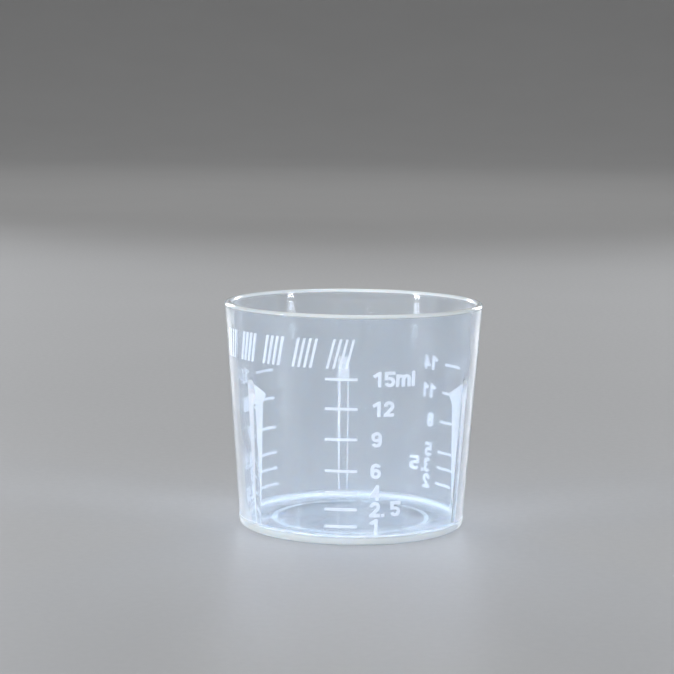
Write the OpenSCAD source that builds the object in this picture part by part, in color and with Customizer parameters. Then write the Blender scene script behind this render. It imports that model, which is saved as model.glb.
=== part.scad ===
// Small graduated measuring cup with three inner stacking ribs.
// One moulding, modelled as regions that meet face to face.
// Origin: centre of the underside, on the surface that the cup stands on. +Z up, front towards -Y.

/* [Cup] */
// Overall height, from the standing face to the top of the rim
cup_h = 30.2; // [22:0.1:45]
// Outer diameter at the rim
rim_d = 34.8; // [32:0.1:50]
// Outer diameter at the standing face, before its corner is rounded
base_d = 30.3; // [26:0.1:31.5]
// Thickness of the wall, measured level
wall_t = 0.9; // [0.6:0.05:1.4]
// Radius of the fillet between the wall and the floor, inside
corner_r = 0.5; // [0.2:0.05:1]

/* [Base] */
// Thickness of the floor over the foot ring
floor_t = 0.9; // [0.6:0.05:1.6]
// Depth of the recess under the floor
recess_h = 0.35; // [0.2:0.05:0.4]
// Diameter of the recess at its ceiling
recess_d = 20; // [10:0.5:22]
// How far the side of the recess slopes outward on its way down
recess_slope = 0.8; // [0.1:0.1:1.2]
// Radius of the rounded outer corner of the foot
foot_r = 0.5; // [0.2:0.05:0.6]
// Diameter of the gate mark under the floor
gate_d = 2.4; // [1:0.1:4]
// Height of the gate mark
gate_h = 0.15; // [0.05:0.05:0.2]

/* [Stacking ribs] */
// Direction of the back rib, anticlockwise from +X, in degrees
rib_angle = 95; // [90:1:100]
// Width of a rib
rib_w = 1.4; // [0.8:0.1:2.5]
// Distance from the axis to a rib's upright inner edge
rib_edge_r = 14.4; // [13.5:0.05:14.6]
// How far a rib stands proud of the wall at its lower end
rib_end_t = 0.08; // [0.05:0.01:0.3]
// How far the tip of a rib's head stands in from the upright edge
rib_tip_t = 0.45; // [0.1:0.05:1.5]
// Drop from the rim to the top of a rib's head
rib_top_drop = 9.9; // [5:0.1:10.5]
// Height of the sloping top of a rib's head
rib_head_h = 1.5; // [1:0.1:3]
// Height over which the head draws back to the upright edge
rib_neck_h = 1.3; // [0.5:0.1:2]

/* [Scales] */
// Direction of the middle of the front scale lines, in degrees
scale_angle = 264.8; // [260:0.1:270]
// Turn from the middle of the lines to the start of the numerals, in degrees
numeral_turn = 14.4; // [12:0.1:18]
// Length of a scale line
line_l = 4.1; // [2:0.1:6]
// Thickness of a scale line
line_t = 0.34; // [0.2:0.02:0.6]
// Height of a numeral
numeral_h = 2; // [1.6:0.1:2.4]
// Thickness of a numeral's strokes
stroke_t = 0.4; // [0.25:0.01:0.45]
// How far the marks stand proud of the inner wall
mark_t = 0.14; // [0.08:0.01:0.3]

/* [Upper marks] */
// Number of hatched marks in the row
row_count = 5; // [1:1:8]
// Direction of the first mark, in degrees
row_angle = 198; // [190:1:215]
// Turn from one mark to the next, in degrees
row_turn = 16.6; // [16:0.1:20]
// Drop from the rim to the middle of the row
row_drop = 5.1; // [3.5:0.1:6]
// Height of a mark
row_h = 3.8; // [1:0.1:4.4]
// Slanted strokes in each mark
row_strokes = 4; // [1:1:5]
// Distance from one stroke to the next
row_pitch = 0.8; // [0.5:0.05:0.8]
// Thickness of a stroke, measured level
row_stroke_t = 0.3; // [0.15:0.01:0.4]
// Lean of a stroke from upright, in degrees
row_lean = 14; // [0:1:15]

/* [Hidden] */
$fn = 96;

// Volumes in millilitres that each scale shows
front_volumes = [1, 2.5, 4, 6, 9, 12, 15];
right_volumes = [2, 3.5, 5, 8, 11, 14];
left_volumes = [1.5, 3, 4.5, 7, 10, 13];
rib_spacing = 120;
mm3_per_ml = 1000;

// The wall's outer and inner radius at a height
slope = (rim_d - base_d) / 2 / cup_h;
function outer_r(z) = base_d / 2 + slope * z;
function inner_r(z) = outer_r(z) - wall_t;

// The height of the liquid's surface, from the volume of a cone frustum that starts at the floor
floor_r = inner_r(floor_t);
function filled_r(ml) = pow(pow(floor_r, 3) + 3 * slope * ml * mm3_per_ml / PI, 1 / 3);
function level_z(ml) = floor_t + (filled_r(ml) - floor_r) / slope;

lip_z = cup_h - wall_t / 2;
rib_top_z = cup_h - rib_top_drop;
rib_tip_z = rib_top_z - rib_head_h;
rib_tip_r = rib_edge_r - rib_tip_t;
rib_neck_z = rib_tip_z - rib_neck_h;
rib_low_z = max(floor_t + corner_r, (rib_edge_r + rib_end_t - inner_r(0)) / slope);
row_z = cup_h - row_drop;

// Proportions of the lettering, as parts of the numeral height
digit_w = 0.66 * numeral_h;
digit_gap = 0.1 * numeral_h;
point_gap = 0.4 * numeral_h;
flag_low = 0.68 * numeral_h;
crossbar_low = 0.22 * numeral_h;
seven_foot = 0.2 * numeral_h;
letter_h = 0.8 * numeral_h;
arch_r = 0.295 * numeral_h;

// Where the open bowls of the digits end, in degrees from +X
two_end = -45;
three_end = 150;
five_start = -160;
five_end = 120;
six_start = 25;

// How far a cutting shape runs past what it cuts
over = 1;

wall_color = [0.84, 0.88, 0.93, 0.45];
floor_color = [0.80, 0.86, 0.92, 0.5];
rib_color = [0.90, 0.92, 0.95, 0.6];
mark_color = [0.96, 0.97, 0.98, 0.9];

// ---- Cup -------------------------------------------------------------------------------------

module cup_wall() {
    corner = [inner_r(floor_t + corner_r) - corner_r, floor_t + corner_r];
    color(wall_color)
        rotate_extrude()
            difference() {
                polygon([
                    [corner[0], floor_t],
                    [outer_r(floor_t), floor_t],
                    [outer_r(lip_z), lip_z],
                    [inner_r(lip_z), lip_z],
                    [inner_r(corner[1]), corner[1]],
                    corner
                ]);
                translate(corner)
                    circle(r = corner_r);
            }
}

module rim_lip() {
    color(wall_color)
        rotate_extrude()
            intersection() {
                translate([inner_r(lip_z) + wall_t / 2, lip_z])
                    circle(d = wall_t);
                translate([inner_r(lip_z) - wall_t, lip_z])
                    square([3 * wall_t, wall_t]);
            }
}

module floor_disc() {
    color(floor_color)
        translate([0, 0, recess_h])
            cylinder(h = floor_t - recess_h, d = recess_d);
}

module foot_ring() {
    inner_foot_r = recess_d / 2 + recess_slope;
    foot_corner = [outer_r(foot_r) - foot_r, foot_r];
    color(floor_color)
        rotate_extrude() {
            polygon([
                [recess_d / 2, recess_h],
                [inner_foot_r, 0],
                [foot_corner[0], 0],
                foot_corner,
                [outer_r(foot_r), foot_r],
                [outer_r(floor_t), floor_t],
                [recess_d / 2, floor_t]
            ]);
            intersection() {
                translate(foot_corner)
                    circle(r = foot_r);
                translate([foot_corner[0], 0])
                    square(foot_r);
            }
        }
}

module gate_mark() {
    color(floor_color)
        translate([0, 0, recess_h - gate_h])
            cylinder(h = gate_h, d = gate_d);
}

// ---- Stacking ribs ---------------------------------------------------------------------------

// The space inside the wall between two heights
module cup_inside(z_low, z_high) {
    translate([0, 0, z_low])
        cylinder(h = z_high - z_low, r1 = inner_r(z_low), r2 = inner_r(z_high));
}

// A rib in the plane of the given direction: a sloping head, a short neck and an upright edge
// that runs down until the tapering wall has almost reached it. The wall's whole inner cone cuts it,
// so that the two meet exactly
module stacking_rib(angle) {
    far_r = outer_r(cup_h);
    color(rib_color)
        intersection() {
            rotate([0, 0, angle])
                translate([0, rib_w / 2, 0])
                    rotate([90, 0, 0])
                        linear_extrude(rib_w)
                            polygon([
                                [inner_r(rib_top_z), rib_top_z],
                                [rib_tip_r, rib_tip_z],
                                [rib_edge_r, rib_neck_z],
                                [rib_edge_r, rib_low_z],
                                [far_r, rib_low_z],
                                [far_r, rib_top_z]
                            ]);
            cup_inside(floor_t + corner_r, lip_z);
        }
}

module stacking_rib_back() {
    stacking_rib(rib_angle);
}

module stacking_rib_left() {
    stacking_rib(rib_angle + rib_spacing);
}

module stacking_rib_right() {
    stacking_rib(rib_angle + 2 * rib_spacing);
}

// ---- Strokes and digits, drawn flat with the lower left corner at the origin --------------------

// A straight stroke between two points, with square ends
module stroke(from, to) {
    run = to - from;
    translate(from)
        rotate(atan2(run[1], run[0]))
            translate([0, -stroke_t / 2])
                square([norm(run), stroke_t]);
}

// A bowl: a round stroke of the given outer radius, from one angle to a larger one
module bowl(centre, radius, from_angle, to_angle) {
    reach = 3 * radius;
    middle = (from_angle + to_angle) / 2;
    sweep = to_angle - from_angle;
    translate(centre)
        difference() {
            circle(r = radius);
            circle(r = radius - stroke_t);
            if (sweep < 180)
                difference() {
                    square(2 * reach, center = true);
                    bowl_wedge(reach, from_angle, middle, to_angle);
                }
            else if (sweep < 360)
                bowl_wedge(reach, to_angle, middle + 180, from_angle + 360);
        }
}

module bowl_wedge(reach, from_angle, middle, to_angle) {
    polygon([
        [0, 0],
        reach * [cos(from_angle), sin(from_angle)],
        2 * reach * [cos(middle), sin(middle)],
        reach * [cos(to_angle), sin(to_angle)]
    ]);
}

module bar(x, y, w, h) {
    translate([x, y])
        square([w, h]);
}

module digit(value) {
    w = digit_w;
    h = numeral_h;
    s = stroke_t;
    r = w / 2;
    big_r = (h + s) / 4;
    if (value == 0) {
        bowl([r, r], r, 180, 360);
        bowl([r, h - r], r, 0, 180);
        bar(0, r, s, h - 2 * r);
        bar(w - s, r, s, h - 2 * r);
    }
    if (value == 1) {
        bar(r, 0, s, h);
        stroke([s / 4, flag_low], [r + s / 2, h - s / 2]);
    }
    if (value == 2) {
        bowl([r, h - r], r, two_end, 180);
        stroke([s / 2, s / 2], [r, h - r] + (r - s / 2) * [cos(two_end), sin(two_end)]);
        bar(0, 0, w, s);
    }
    if (value == 3) {
        bowl([w - big_r, big_r], big_r, -three_end, 90);
        bowl([w - big_r, h - big_r], big_r, -90, three_end);
    }
    if (value == 4) {
        bar(w - 3 * s / 2, 0, s, h);
        bar(0, crossbar_low, w, s);
        stroke([s / 2, crossbar_low + s / 2], [w - s, h - s / 2]);
    }
    if (value == 5) {
        bar(0, h - s, w, s);
        bar(0, 2 * r - s, s, h - 2 * r + s);
        bowl([r, r], r, five_start, five_end);
    }
    if (value == 6) {
        bowl([r, r], r, 0, 360);
        bar(0, r, s, h - 2 * r);
        bowl([r, h - r], r, six_start, 180);
    }
    if (value == 7) {
        bar(0, h - s, w, s);
        stroke([seven_foot, 0], [w - s / 2, h - s / 2]);
    }
    if (value == 8) {
        bowl([r, big_r], big_r, 0, 360);
        bowl([r, h - big_r], big_r, 0, 360);
    }
    if (value == 9)
        translate([w, h])
            rotate(180)
                digit(6);
}

// ---- Marks on the inner wall -------------------------------------------------------------------

// The thin layer on the inner wall that a mark fills, between two heights
module mark_layer(z_low, z_high) {
    difference() {
        cup_inside(z_low, z_high);
        translate([0, 0, z_low - over])
            cylinder(
                h = z_high - z_low + 2 * over,
                r1 = inner_r(z_low - over) - mark_t,
                r2 = inner_r(z_high + over) - mark_t
            );
    }
}

// Lays flat artwork on the inner wall, centred on a direction and reading from the front side
module on_wall(angle, z, half_height) {
    reach = outer_r(cup_h);
    intersection() {
        rotate([0, 0, angle + 90])
            rotate([90, 0, 0])
                linear_extrude(reach)
                    translate([0, z])
                        children();
        mark_layer(z - half_height, z + half_height);
    }
}

// The turn that a length along the inner wall makes, in degrees
function turn(length, z) = length / inner_r(z) * 180 / PI;

module scale_line(ml, angle) {
    on_wall(angle, level_z(ml), line_t)
        square([line_l, line_t], center = true);
}

// One digit whose left edge is at a distance along the wall from the start of the numerals
module wall_digit(value, along, ml, angle) {
    middle = along + digit_w / 2;
    on_wall(angle + numeral_turn + turn(middle, level_z(ml)), level_z(ml), numeral_h)
        translate([-digit_w / 2, -numeral_h / 2])
            digit(value);
}

module wall_point(along, ml, angle) {
    middle = along + stroke_t / 2;
    on_wall(angle + numeral_turn + turn(middle, level_z(ml)), level_z(ml), numeral_h)
        translate([-stroke_t / 2, -numeral_h / 2])
            square(stroke_t);
}

// A number in tens, units and an optional half, such as 15, 9 or 2.5
module wall_number(ml, angle) {
    whole = floor(ml);
    tens = floor(whole / 10);
    units_at = tens > 0 ? digit_w + digit_gap : 0;
    point_at = units_at + digit_w + digit_gap;
    if (tens > 0)
        wall_digit(tens, 0, ml, angle);
    wall_digit(whole % 10, units_at, ml, angle);
    if (ml > whole) {
        wall_point(point_at, ml, angle);
        wall_digit(round(10 * (ml - whole)), point_at + stroke_t + point_gap, ml, angle);
    }
}

module scale_lines(volumes, angle) {
    color(mark_color)
        for (ml = volumes)
            scale_line(ml, angle);
}

module scale_numerals(volumes, angle) {
    color(mark_color)
        for (ml = volumes)
            wall_number(ml, angle);
}

module front_scale_lines() {
    scale_lines(front_volumes, scale_angle);
}

module right_scale_lines() {
    scale_lines(right_volumes, scale_angle + rib_spacing);
}

module left_scale_lines() {
    scale_lines(left_volumes, scale_angle - rib_spacing);
}

module front_scale_numerals() {
    scale_numerals(front_volumes, scale_angle);
}

module right_scale_numerals() {
    scale_numerals(right_volumes, scale_angle + rib_spacing);
}

module left_scale_numerals() {
    scale_numerals(left_volumes, scale_angle - rib_spacing);
}

// The unit after the top number of the front scale: two low arches and a tall bar
module unit_mark() {
    top_ml = front_volumes[len(front_volumes) - 1];
    z = level_z(top_ml);
    arch_step = 2 * arch_r - stroke_t;
    bar_x = 2 * arch_step + stroke_t + digit_gap;
    along = 2 * (digit_w + digit_gap) + (bar_x + stroke_t) / 2;
    color(mark_color)
        on_wall(scale_angle + numeral_turn + turn(along, z), z, numeral_h)
            translate([-(bar_x + stroke_t) / 2, -numeral_h / 2]) {
                bar(0, 0, stroke_t, letter_h);
                for (i = [0, 1]) {
                    bowl([arch_r + i * arch_step, letter_h - arch_r], arch_r, 0, 180);
                    bar((i + 1) * arch_step, 0, stroke_t, letter_h - arch_r);
                }
                bar(bar_x, 0, stroke_t, numeral_h);
            }
}

// A row of plain hatched marks near the rim
module upper_mark_row() {
    lean = row_h / 2 * tan(row_lean);
    color(mark_color)
        for (i = [0:row_count - 1])
            on_wall(row_angle + i * row_turn, row_z, row_h)
                for (j = [0:row_strokes - 1])
                    translate([(j - (row_strokes - 1) / 2) * row_pitch, 0])
                        leaning_stroke(lean);
}

module leaning_stroke(lean) {
    half_t = row_stroke_t / 2;
    polygon([
        [-lean - half_t, -row_h / 2],
        [-lean + half_t, -row_h / 2],
        [lean + half_t, row_h / 2],
        [lean - half_t, row_h / 2]
    ]);
}

cup_wall();
rim_lip();
floor_disc();
foot_ring();
gate_mark();
stacking_rib_back();
stacking_rib_left();
stacking_rib_right();
front_scale_lines();
left_scale_lines();
right_scale_lines();
front_scale_numerals();
left_scale_numerals();
right_scale_numerals();
unit_mark();
upper_mark_row();
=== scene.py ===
"""A small graduated measuring cup of translucent polypropylene, on a plain pale floor.

The cup is one moulding, so its wall, rim, floor, foot and ribs are built here as one closed mesh
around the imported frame. The raised marks are the frame's own marks, seated a little into the wall.
"""

import math

import bmesh
import bpy
from mathutils import Matrix, Vector


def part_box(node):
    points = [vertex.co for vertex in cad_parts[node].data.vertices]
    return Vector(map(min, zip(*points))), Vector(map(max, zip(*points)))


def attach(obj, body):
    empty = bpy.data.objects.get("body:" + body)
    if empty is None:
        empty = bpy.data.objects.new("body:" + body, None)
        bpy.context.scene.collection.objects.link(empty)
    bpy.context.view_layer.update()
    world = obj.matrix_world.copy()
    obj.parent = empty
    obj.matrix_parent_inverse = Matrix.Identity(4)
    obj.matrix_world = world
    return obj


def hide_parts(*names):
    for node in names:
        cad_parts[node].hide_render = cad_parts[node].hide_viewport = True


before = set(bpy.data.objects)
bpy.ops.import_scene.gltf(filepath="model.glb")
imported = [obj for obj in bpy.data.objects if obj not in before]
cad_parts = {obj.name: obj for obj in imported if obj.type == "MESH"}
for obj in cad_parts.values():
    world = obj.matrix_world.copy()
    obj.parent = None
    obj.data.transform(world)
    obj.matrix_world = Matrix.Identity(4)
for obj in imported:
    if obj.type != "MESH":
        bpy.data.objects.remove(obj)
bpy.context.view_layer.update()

MM = 0.001
BODY = "root"

# ---- Sizes, read from the frame -----------------------------------------------------------------

wall_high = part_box("cup_wall")[1]
lip_low, lip_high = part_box("rim_lip")
foot_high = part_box("foot_ring")[1]
disc_low, disc_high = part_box("floor_disc")
gate_low, gate_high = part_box("gate_mark")

LIP_Z = lip_low.z
CUP_H = lip_high.z
WALL_T = 2 * (CUP_H - LIP_Z)
FLOOR_T = foot_high.z
RECESS_Z = disc_low.z
RECESS_R = disc_high.x
GATE_Z = gate_low.z
GATE_R = gate_high.x
WALL_SLOPE = (wall_high.x - foot_high.x) / (LIP_Z - FLOOR_T)

# Sizes that no box gives, as the CAD source has them
RECESS_SLOPE = 0.8 * MM
FOOT_CORNER_R = 0.5 * MM
FLOOR_CORNER_R = 0.5 * MM

# The cup's two materials: the ribs' sides and heads are whiter than the wall, partly from thicker plastic
# and partly as a painted highlight
WALL_SLOT = 0
RIB_SLOT = 1

# Edges that turn by more than this many degrees stay sharp
CUP_SHARP = 38
MARK_SHARP = 35

# Fineness of the visual mesh
ROUND_STEPS = 288
WALL_STEPS = 28
ARC_STEPS = 8


def outer_r(z):
    return foot_high.x + WALL_SLOPE * (z - FLOOR_T)


def inner_r(z):
    return outer_r(z) - WALL_T


# ---- Mesh helpers -------------------------------------------------------------------------------


def new_object(name, mesh):
    piece = bpy.data.objects.new(name, mesh)
    bpy.context.collection.objects.link(piece)
    return piece


def object_from(bm, name):
    bmesh.ops.recalc_face_normals(bm, faces=bm.faces)
    mesh = bpy.data.meshes.new(name)
    bm.to_mesh(mesh)
    bm.free()
    return new_object(name, mesh)


def shade_smooth(piece, sharp_degrees):
    """Smooth shading, broken at edges sharper than an angle."""
    mesh = piece.data
    mesh.shade_smooth()
    bm = bmesh.new()
    bm.from_mesh(mesh)
    limit = math.radians(sharp_degrees)
    for edge in bm.edges:
        edge.smooth = not (edge.is_manifold and edge.calc_face_angle(0) > limit)
    bm.to_mesh(mesh)
    bm.free()


def apply_modifiers(piece):
    """Bakes a piece's modifiers into its mesh."""
    graph = bpy.context.evaluated_depsgraph_get()
    mesh = bpy.data.meshes.new_from_object(piece.evaluated_get(graph))
    piece.modifiers.clear()
    piece.data = mesh


# ---- The cup's own mesh ---------------------------------------------------------------------------


def arc(centre, radius, start_degrees, end_degrees, steps):
    """Points on an arc in the (radius, height) plane."""
    points = []
    for i in range(steps + 1):
        a = math.radians(start_degrees + (end_degrees - start_degrees) * i / steps)
        points.append((centre[0] + radius * math.cos(a), centre[1] + radius * math.sin(a)))
    return points


def straight(start, end, steps):
    """Points from start to end, without the last."""
    return [
        (start[0] + (end[0] - start[0]) * i / steps, start[1] + (end[1] - start[1]) * i / steps)
        for i in range(steps)
    ]


def cup_profile():
    """The cup's half section, from the underside's middle round the outside to the floor's middle.

    Each point is (radius, height, is_inner_wall).
    """
    foot_z = FOOT_CORNER_R
    foot_centre = (outer_r(foot_z) - FOOT_CORNER_R, foot_z)
    lip_centre = (inner_r(LIP_Z) + WALL_T / 2, LIP_Z)
    corner_z = FLOOR_T + FLOOR_CORNER_R
    corner_centre = (inner_r(corner_z) - FLOOR_CORNER_R, corner_z)

    gate_face_r = 0.98 * GATE_R
    gate_bead_r = 0.05 * MM
    recess_flat_from = 1.1 * GATE_R
    recess_flat_to = RECESS_R - 0.1 * MM
    slope_top = (RECESS_R, RECESS_Z - 0.02 * MM)
    slope_foot = (RECESS_R + RECESS_SLOPE, 0.03 * MM)
    ring_from = RECESS_R + RECESS_SLOPE + 0.08 * MM
    floor_from = corner_centre[0] - 0.2 * MM
    floor_to = 0.5 * MM

    underside = [(gate_face_r, GATE_Z)]
    underside += arc((GATE_R, RECESS_Z - gate_bead_r), gate_bead_r, 0, 90, 2)
    underside += straight((recess_flat_from, RECESS_Z), (recess_flat_to, RECESS_Z), 6)
    underside += straight(slope_top, slope_foot, 4)
    underside += straight((ring_from, 0), (foot_centre[0], 0), 5)
    outside = arc(foot_centre, FOOT_CORNER_R, -90, 0, ARC_STEPS)
    outside += straight((outer_r(foot_z), foot_z), (outer_r(LIP_Z), LIP_Z), WALL_STEPS)[1:]
    lip = arc(lip_centre, WALL_T / 2, 0, 180, 2 * ARC_STEPS)
    inside = straight((inner_r(LIP_Z), LIP_Z), (inner_r(corner_z), corner_z), WALL_STEPS)[1:]
    corner = arc(corner_centre, FLOOR_CORNER_R, 0, -90, ARC_STEPS)
    floor = straight((floor_from, FLOOR_T), (floor_to, FLOOR_T), 10)
    return [
        (r, z, is_inner)
        for part, is_inner in (
            (underside, False), (outside, False), (lip, False),
            (inside, True), (corner, False), (floor, False),
        )
        for r, z in part
    ]


def flow_ripple(angle, z):
    """The inner wall's slight waviness, which fades out at the rim and at the floor."""
    # Waves round the wall, where the first crest starts in radians, and depth in thousandths of a mm
    ripples = ((7, 0.4, 11.0), (17, 2.1, 6.0), (31, 4.4, 3.0), (53, 1.3, 1.0))
    height = (z - FLOOR_T) / (LIP_Z - FLOOR_T)
    fade = math.sin(math.pi * min(1, max(0, height))) ** 0.5
    lean = 0.35 * height
    wave = sum(depth * math.cos(n * (angle + lean / n) + start) for n, start, depth in ripples)
    return fade * wave * 0.001 * MM


def cup_shell():
    bm = bmesh.new()
    profile = cup_profile()
    rings = []
    for r, z, is_inner in profile:
        ring = []
        for i in range(ROUND_STEPS):
            a = 2 * math.pi * i / ROUND_STEPS
            radius = r + (flow_ripple(a, z) if is_inner else 0)
            ring.append(bm.verts.new((radius * math.cos(a), radius * math.sin(a), z)))
        rings.append(ring)
    for low, high in zip(rings, rings[1:]):
        for i in range(ROUND_STEPS):
            j = (i + 1) % ROUND_STEPS
            bm.faces.new((low[i], low[j], high[j], high[i]))
    for ring, z in ((rings[0], profile[0][1]), (rings[-1], profile[-1][1])):
        middle = bm.verts.new((0, 0, z))
        for i in range(ROUND_STEPS):
            bm.faces.new((ring[i], ring[(i + 1) % ROUND_STEPS], middle))
    return object_from(bm, "cup_moulding")


# ---- Stacking ribs ----------------------------------------------------------------------------------


def rib_sizes(node):
    """A rib's direction, width and the corners of its section, measured on its CAD node."""
    points = [v.co.copy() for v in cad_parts[node].data.vertices]
    middle = sum(points, Vector()) / len(points)
    angle = math.atan2(middle.y, middle.x)
    outward = Vector((math.cos(angle), math.sin(angle), 0))
    across = Vector((-math.sin(angle), math.cos(angle), 0))
    radii = [p.dot(outward) for p in points]
    sides = [p.dot(across) for p in points]
    heights = [p.z for p in points]
    near = 0.02 * MM
    low_z, top_z = min(heights), max(heights)
    tip_r = min(radii)
    edge_r = min(r for r, z in zip(radii, heights) if z < low_z + near)
    tip_z = max(z for r, z in zip(radii, heights) if r < tip_r + near)
    neck_z = max(z for r, z in zip(radii, heights) if abs(r - edge_r) < near and z < tip_z)
    return {
        "angle": angle, "width": max(sides) - min(sides), "top_z": top_z,
        "tip": (tip_r, tip_z), "neck": (edge_r, neck_z),
    }


def rib_front(sizes, z):
    """The distance from the axis to a rib's inner edge at a height."""
    (tip_r, tip_z), (edge_r, neck_z), top_z = sizes["tip"], sizes["neck"], sizes["top_z"]
    if z > tip_z:
        return tip_r + (inner_r(top_z) - tip_r) * (z - tip_z) / (top_z - tip_z)
    if z > neck_z:
        return edge_r + (tip_r - edge_r) * (z - neck_z) / (tip_z - neck_z)
    return edge_r


def rib_piece(name, node):
    """A rib with rounded edges, whose back lies inside the wall so that the two can be joined."""
    sizes = rib_sizes(node)
    bury = 0.4 * MM
    edge_round = 0.22 * MM
    edge_steps = 5
    blur = 0.14 * MM
    blur_samples = (-1, -0.5, 0, 0.5, 1)
    step = 0.16 * MM
    draft = 0.06 * MM
    overrun = 0.35 * MM
    half = sizes["width"] / 2
    low_z = FLOOR_T + FLOOR_CORNER_R
    high_z = sizes["top_z"] + overrun
    count = round((high_z - low_z) / step)
    bm = bmesh.new()
    rings = []
    clear_rings = 0
    for k in range(count + 1):
        z = low_z + (high_z - low_z) * k / count
        if z < sizes["neck"][1]:
            clear_rings = k
        front = sum(rib_front(sizes, z + blur * s) for s in blur_samples) / len(blur_samples)
        back = inner_r(z) + bury
        front = min(front, back - 2 * edge_round)
        section = [(back, half + draft)]
        section += arc((front + edge_round, half - edge_round), edge_round, 90, 180, edge_steps)
        section += arc((front + edge_round, edge_round - half), edge_round, 180, 270, edge_steps)
        section += [(back, -half - draft)]
        rings.append([bm.verts.new((r, s, z)) for r, s in section])
    inner_edge = []
    for k, (low, high) in enumerate(zip(rings, rings[1:])):
        edge_side = len(low) // 2 - 1
        for i in range(len(low)):
            j = (i + 1) % len(low)
            face = bm.faces.new((low[i], low[j], high[j], high[i]))
            if i == edge_side and k < clear_rings:
                inner_edge.append(face)
    bm.faces.new(rings[0])
    bm.faces.new(rings[-1])
    turn = Matrix.Rotation(sizes["angle"], 3, "Z")
    bmesh.ops.rotate(bm, cent=(0, 0, 0), matrix=turn, verts=bm.verts)
    for face in bm.faces:
        face.material_index = RIB_SLOT
    for face in inner_edge:
        face.material_index = WALL_SLOT
    return object_from(bm, name)


def join_into(shell, part):
    """Adds a solid to the shell, so that both are one closed mesh."""
    union = shell.modifiers.new("union", "BOOLEAN")
    union.operation = "UNION"
    union.solver = "EXACT"
    union.object = part
    apply_modifiers(shell)
    bpy.data.objects.remove(part, do_unlink=True)


def build_cup(*plastics):
    shell = cup_shell()
    for plastic in plastics:
        shell.data.materials.append(plastic)
    for side in ("back", "left", "right"):
        rib = rib_piece(f"rib_{side}", f"stacking_rib_{side}")
        for plastic in plastics:
            rib.data.materials.append(plastic)
        join_into(shell, rib)
    shade_smooth(shell, CUP_SHARP)
    return shell


# ---- Raised marks -----------------------------------------------------------------------------------


def raised_marks(name, node):
    """A copy of a node's marks with softened edges, its back seated in the wall."""
    seat = 0.12 * MM
    soften = 0.028 * MM
    weld = 0.002 * MM
    flat = math.radians(1.5)
    corner = math.radians(40)
    bm = bmesh.new()
    bm.from_mesh(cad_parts[node].data)
    bmesh.ops.remove_doubles(bm, verts=bm.verts, dist=weld)
    bmesh.ops.dissolve_limit(bm, angle_limit=flat, verts=bm.verts, edges=bm.edges)
    sharp = [e for e in bm.edges if e.is_manifold and e.calc_face_angle(0) > corner]
    bmesh.ops.bevel(
        bm, geom=sharp, offset=soften, segments=2, profile=0.5, affect="EDGES", clamp_overlap=True
    )
    for v in bm.verts:
        r = math.hypot(v.co.x, v.co.y)
        if r > inner_r(v.co.z) - 2 * soften:
            grow = (inner_r(v.co.z) + seat) / r
            v.co.x *= grow
            v.co.y *= grow
    bmesh.ops.triangulate(bm, faces=[f for f in bm.faces if len(f.verts) > 4])
    piece = object_from(bm, name)
    shade_smooth(piece, MARK_SHARP)
    return piece


# ---- Materials --------------------------------------------------------------------------------------

PLASTIC_IOR = 1.49


class Nodes:
    """A short way to write a material's node tree."""

    def __init__(self, name):
        self.material = bpy.data.materials.new(name)
        self.material.use_nodes = True
        self.tree = self.material.node_tree
        self.shader = self.tree.nodes["Principled BSDF"]
        self.place = self.add("ShaderNodeTexCoord").outputs["Object"]

    def add(self, kind, **settings):
        node = self.tree.nodes.new(kind)
        for key, value in settings.items():
            setattr(node, key, value)
        return node

    def link(self, source, target):
        self.tree.links.new(source, target)

    def stretched(self, scale):
        mapping = self.add("ShaderNodeMapping")
        mapping.inputs["Scale"].default_value = scale
        self.link(self.place, mapping.inputs["Vector"])
        return mapping.outputs["Vector"]

    def noise(self, vector, detail, scale=1.0):
        texture = self.add("ShaderNodeTexNoise")
        texture.inputs["Scale"].default_value = scale
        texture.inputs["Detail"].default_value = detail
        self.link(vector, texture.inputs["Vector"])
        return texture.outputs["Fac"]

    def remap(self, value, low, high, to_low, to_high):
        ranged = self.add("ShaderNodeMapRange", interpolation_type="SMOOTHSTEP")
        for key, number in (("From Min", low), ("From Max", high), ("To Min", to_low), ("To Max", to_high)):
            ranged.inputs[key].default_value = number
        self.link(value, ranged.inputs["Value"])
        return ranged.outputs["Result"]

    def height(self):
        split = self.add("ShaderNodeSeparateXYZ")
        self.link(self.place, split.inputs["Vector"])
        return split.outputs["Z"]

    def radius(self):
        """The distance from the cup's axis."""
        length = self.add("ShaderNodeVectorMath", operation="LENGTH")
        self.link(self.stretched((1, 1, 0)), length.inputs[0])
        return length.outputs["Value"]

    def combine(self, operation, first, second):
        maths = self.add("ShaderNodeMath", operation=operation)
        for socket, value in zip(maths.inputs, (first, second)):
            if isinstance(value, (int, float)):
                socket.default_value = value
            else:
                self.link(value, socket)
        return maths.outputs["Value"]

    def bump(self, height, strength, distance):
        bump = self.add("ShaderNodeBump")
        bump.inputs["Strength"].default_value = strength
        bump.inputs["Distance"].default_value = distance
        self.link(height, bump.inputs["Height"])
        self.link(bump.outputs["Normal"], self.shader.inputs["Normal"])

    def tint(self, factor, first, second):
        """Base colour between two greys or tints."""
        mix = self.add("ShaderNodeMix", data_type="RGBA")
        mix.inputs["A"].default_value = first
        mix.inputs["B"].default_value = second
        self.link(factor, mix.inputs["Factor"])
        self.link(mix.outputs["Result"], self.shader.inputs["Base Color"])


def let_light_through(m, colour):
    """Lets lamp light pass straight through the plastic, so that what is behind it is lit."""
    path = m.add("ShaderNodeLightPath")
    through = m.add("ShaderNodeBsdfTransparent")
    through.inputs["Color"].default_value = colour
    mix = m.add("ShaderNodeMixShader")
    m.link(path.outputs["Is Shadow Ray"], mix.inputs["Fac"])
    m.link(m.shader.outputs["BSDF"], mix.inputs[1])
    m.link(through.outputs["BSDF"], mix.inputs[2])
    m.link(mix.outputs["Shader"], m.tree.nodes["Material Output"].inputs["Surface"])


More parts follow.
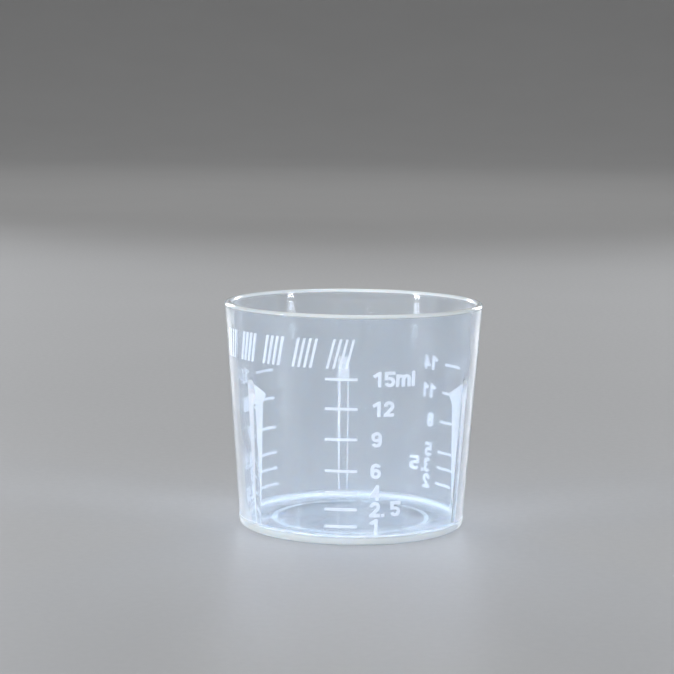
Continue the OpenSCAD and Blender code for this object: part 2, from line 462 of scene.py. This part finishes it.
def polypropylene(name):
    """Natural polypropylene: clear, with a milky blue-white haze."""
    m = Nodes(name)
    m.shader.inputs["Base Color"].default_value = (0.87, 0.915, 0.98, 1)
    m.shader.inputs["IOR"].default_value = PLASTIC_IOR
    m.shader.inputs["Subsurface Weight"].default_value = 1.0
    m.shader.inputs["Subsurface Radius"].default_value = (0.8, 0.9, 1.0)
    m.shader.inputs["Subsurface Scale"].default_value = 0.6 * MM
    return m


def cup_plastic():
    """The wall and floor, with faint flow streaks up the wall. Round the foot the plastic is whiter, partly
    the thick plastic's real haze and partly a painted glow; the floor's sloped step has a painted
    highlight; the lip is whiter, partly real haze and partly a painted highlight.
    """
    m = polypropylene("natural_polypropylene")
    most_clear, least_clear = 0.93, 0.90
    # Whitening by lower transmission: real haze with a painted glow at the foot, a painted highlight on the
    # step, real haze with a painted highlight at the rim
    foot_haze_and_painted_glow, ring_haze_and_painted_glow, painted_step_highlight, rim_haze_and_painted_highlight = 0.84, 0.08, 0.9, 0.85
    foot_from, foot_to = foot_high.x - 1.9 * MM, foot_high.x - 0.8 * MM
    step_end = RECESS_R + RECESS_SLOPE
    edge = 0.1 * MM

    streaks = m.noise(m.stretched((900, 900, 60)), detail=2.0)
    cloud = m.noise(m.stretched((160, 160, 120)), detail=3.0)
    clear = m.remap(cloud, 0.3, 0.7, most_clear, least_clear)

    # Painted glow round the outer foot and across the foot ring, over the thick plastic's real haze
    low = m.remap(m.height(), 0.8 * MM, 1.5 * MM, 1.0, 0.0)
    outer = m.remap(m.radius(), foot_from, foot_to, 0.0, foot_haze_and_painted_glow)
    ring = m.remap(m.radius(), RECESS_R, step_end, 0.0, ring_haze_and_painted_glow)
    foot = m.combine("MULTIPLY", low, m.combine("ADD", outer, ring))

    # Painted highlight: the floor's sloped step under the recess is made whiter where light would catch it
    under = m.remap(m.height(), RECESS_Z + 0.05 * MM, RECESS_Z + 0.2 * MM, painted_step_highlight, 0.0)
    band_start = m.remap(m.radius(), RECESS_R - edge, RECESS_R + edge, 0.0, 1.0)
    band_end = m.remap(m.radius(), step_end - edge, step_end + edge, 1.0, 0.0)
    step = m.combine("MULTIPLY", under, m.combine("MULTIPLY", band_start, band_end))

    # Along the lip: partly real haze, partly a painted highlight
    rim = m.remap(m.height(), LIP_Z - edge, LIP_Z + edge, 0.0, rim_haze_and_painted_highlight)
    # The clear share left after the haze, the painted glow and the painted highlights
    haze = m.combine("SUBTRACT", 1.0, m.combine("ADD", step, m.combine("ADD", foot, rim)))
    m.link(m.combine("MULTIPLY", clear, haze), m.shader.inputs["Transmission Weight"])
    m.link(m.remap(cloud, 0.25, 0.75, 0.03, 0.07), m.shader.inputs["Roughness"])

    wall_only = m.remap(m.height(), FLOOR_T + 0.3 * MM, FLOOR_T + 2 * MM, 0.0, 1.0)
    m.bump(m.combine("MULTIPLY", streaks, wall_only), strength=0.12, distance=0.02 * MM)
    let_light_through(m, (0.90, 0.92, 0.95, 1))
    return m.material


def rib_plastic():
    """The ribs, whiter than the wall, partly as their thicker plastic's haze and partly as a painted
    highlight on their sides and heads.
    """
    m = polypropylene("thick_polypropylene_and_painted_highlight")
    m.shader.inputs["Base Color"].default_value = (0.91, 0.94, 0.98, 1)
    cloud = m.noise(m.stretched((300, 300, 90)), detail=3.0)
    # Low transmission whitens the ribs: partly their thick plastic's haze, partly a painted highlight
    m.link(m.remap(cloud, 0.3, 0.7, 0.34, 0.24), m.shader.inputs["Transmission Weight"])
    m.link(m.remap(cloud, 0.25, 0.75, 0.10, 0.18), m.shader.inputs["Roughness"])
    m.bump(cloud, strength=0.15, distance=0.02 * MM)
    let_light_through(m, (0.82, 0.85, 0.89, 1))
    return m.material


def mark_plastic():
    """The raised marks: the same plastic with the frosted face that the mould's engraving leaves."""
    m = Nodes("frosted_marks")
    m.shader.inputs["IOR"].default_value = PLASTIC_IOR
    grain = m.noise(m.stretched((6000, 6000, 6000)), detail=2.0)
    m.tint(grain, (0.74, 0.77, 0.81, 1), (0.83, 0.85, 0.88, 1))
    m.link(m.remap(grain, 0.3, 0.7, 0.35, 0.6), m.shader.inputs["Roughness"])
    m.link(m.remap(grain, 0.3, 0.7, 0.05, 0.2), m.shader.inputs["Transmission Weight"])
    m.bump(grain, strength=0.3, distance=0.02 * MM)
    let_light_through(m, (0.80, 0.82, 0.84, 1))
    return m.material


def floor_paint():
    """Plain pale studio paper."""
    m = Nodes("pale_floor")
    m.shader.inputs["Specular IOR Level"].default_value = 0.15
    fibre = m.noise(m.place, detail=4.0, scale=900)
    patches = m.noise(m.place, detail=2.0, scale=14)
    m.link(m.remap(fibre, 0.3, 0.7, 0.42, 0.5), m.shader.inputs["Roughness"])
    m.tint(patches, (0.47, 0.47, 0.47, 1), (0.50, 0.50, 0.50, 1))
    return m.material


# ---- Stage -----------------------------------------------------------------------------------------


def make_floor():
    """A round sheet just under the cup that sweeps up into a backdrop all the way round."""
    flat_r, sweep_r, wall_h = 1.3, 1.2, 2.4
    flat_steps, bend_steps, steps = 4, 24, 128
    gap = 0.02 * MM
    bend_angles = [math.radians(90 * i / bend_steps) for i in range(bend_steps + 1)]
    bend = [(flat_r + sweep_r * math.sin(a), sweep_r * (1 - math.cos(a))) for a in bend_angles]
    flat = [(flat_r * k / flat_steps, 0) for k in range(1, flat_steps)]
    outline = flat + bend + [(bend[-1][0], wall_h)]
    bm = bmesh.new()
    round_angles = [2 * math.pi * i / steps for i in range(steps)]
    rings = [
        [bm.verts.new((r * math.cos(a), r * math.sin(a), z)) for a in round_angles]
        for r, z in outline
    ]
    bm.faces.new(rings[0])
    for low, high in zip(rings, rings[1:]):
        for i in range(steps):
            j = (i + 1) % steps
            bm.faces.new((low[i], low[j], high[j], high[i]))
    floor = object_from(bm, "studio_floor")
    floor.data.shade_smooth()
    floor.location.z = -gap
    floor.data.materials.append(floor_paint())


def area_lamp(name, place, aim, width, height, power, colour, spread):
    lamp = bpy.data.lights.new(name, "AREA")
    lamp.shape = "RECTANGLE"
    lamp.size, lamp.size_y = width, height
    lamp.energy = power
    lamp.color = colour
    lamp.spread = math.radians(spread)
    holder = bpy.data.objects.new(name, lamp)
    bpy.context.collection.objects.link(holder)
    holder.location = place
    holder.rotation_euler = (place - aim).to_track_quat("Z", "Y").to_euler()
    holder.visible_camera = False


def softbox(name, direction, lift, distance, width, height, power, colour=(1, 1, 1), spread=180):
    """An area lamp aimed at the middle of the cup.

    Direction is anticlockwise from +X, lift is up from level and spread is the beam, in degrees.
    Distance, width and height are in metres, and power is in watts.
    """
    a, b = math.radians(direction), math.radians(lift)
    middle = Vector((0, 0, CUP_H / 2))
    toward = Vector((math.cos(a) * math.cos(b), math.sin(a) * math.cos(b), math.sin(b)))
    area_lamp(name, middle + distance * toward, middle, width, height, power, colour, spread)


def make_light():
    cool = (0.92, 0.95, 1.0)
    level = 12.5
    narrow = 80
    for side, direction, power in (("left", 120, 0.50), ("right", 60, 0.45)):
        softbox(f"{side}_back_edge", direction, level, 0.75, 0.18, 0.29, power, cool, narrow)
    for side, direction, power in (("left", 205, 0.15), ("right", 335, 0.12)):
        softbox(f"{side}_strip", direction, level, 0.46, 0.05, 0.18, power, cool, narrow)
    softbox("front_fill", 255, 18, 0.60, 0.36, 0.16, 0.88)
    softbox("top_back", 90, 72, 0.50, 0.30, 0.24, 0.48)
    area_lamp(
        "backdrop_wash", place=Vector((0, 0.6, 0.9)), aim=Vector((0, 1.0, 0)),
        width=1.4, height=0.4, power=2.2, colour=(1, 1, 1), spread=120,
    )
    world = bpy.data.worlds.new("studio")
    bpy.context.scene.world = world
    world.use_nodes = True
    background = world.node_tree.nodes["Background"]
    background.inputs["Color"].default_value = (0.36, 0.362, 0.365, 1)
    background.inputs["Strength"].default_value = 1.0


# The camera: its distance in metres from the middle of the cup's base and its rise in degrees, then how
# many degrees its aim turns left, up and about its own axis, and the lens and sensor in millimetres
CAMERA_DISTANCE = 0.2784
CAMERA_ELEVATION = 12.17
AIM_LEFT = 0.46
AIM_UP = 5.17
CAMERA_ROLL = -0.74
CAMERA_LENS = 108.6
SENSOR_WIDTH = 36


def make_camera():
    lens = bpy.data.cameras.new("camera")
    lens.sensor_width = SENSOR_WIDTH
    lens.lens = CAMERA_LENS
    lens.clip_start = 0.01
    lens.clip_end = 20
    holder = bpy.data.objects.new("camera", lens)
    bpy.context.collection.objects.link(holder)
    tilt = math.radians(CAMERA_ELEVATION)
    place = Vector((0, -math.cos(tilt), math.sin(tilt))) * CAMERA_DISTANCE
    forward = -place.normalized()
    right = Vector((1, 0, 0))
    up = right.cross(forward)
    turn = Matrix.Rotation(math.radians(AIM_LEFT), 3, up)
    forward, right = turn @ forward, turn @ right
    turn = Matrix.Rotation(math.radians(AIM_UP), 3, right)
    forward, up = turn @ forward, turn @ up
    turn = Matrix.Rotation(math.radians(CAMERA_ROLL), 3, forward)
    right, up = turn @ right, turn @ up
    holder.matrix_world = Matrix((
        (right.x, up.x, -forward.x, place.x),
        (right.y, up.y, -forward.y, place.y),
        (right.z, up.z, -forward.z, place.z),
        (0, 0, 0, 1),
    ))
    bpy.context.scene.camera = holder
    bpy.context.scene.view_settings.view_transform = "Standard"


# ---- Putting it together ---------------------------------------------------------------------------

cup = build_cup(cup_plastic(), rib_plastic())
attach(cup, BODY)
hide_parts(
    "cup_wall", "rim_lip", "floor_disc", "foot_ring", "gate_mark",
    "stacking_rib_back", "stacking_rib_left", "stacking_rib_right",
)

frosted = mark_plastic()
for mark_node in (
    "front_scale_lines", "left_scale_lines", "right_scale_lines",
    "front_scale_numerals", "left_scale_numerals", "right_scale_numerals",
    "unit_mark", "upper_mark_row",
):
    marks = raised_marks(f"raised_{mark_node}", mark_node)
    marks.data.materials.append(frosted)
    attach(marks, BODY)
    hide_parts(mark_node)

make_floor()
make_light()
make_camera()
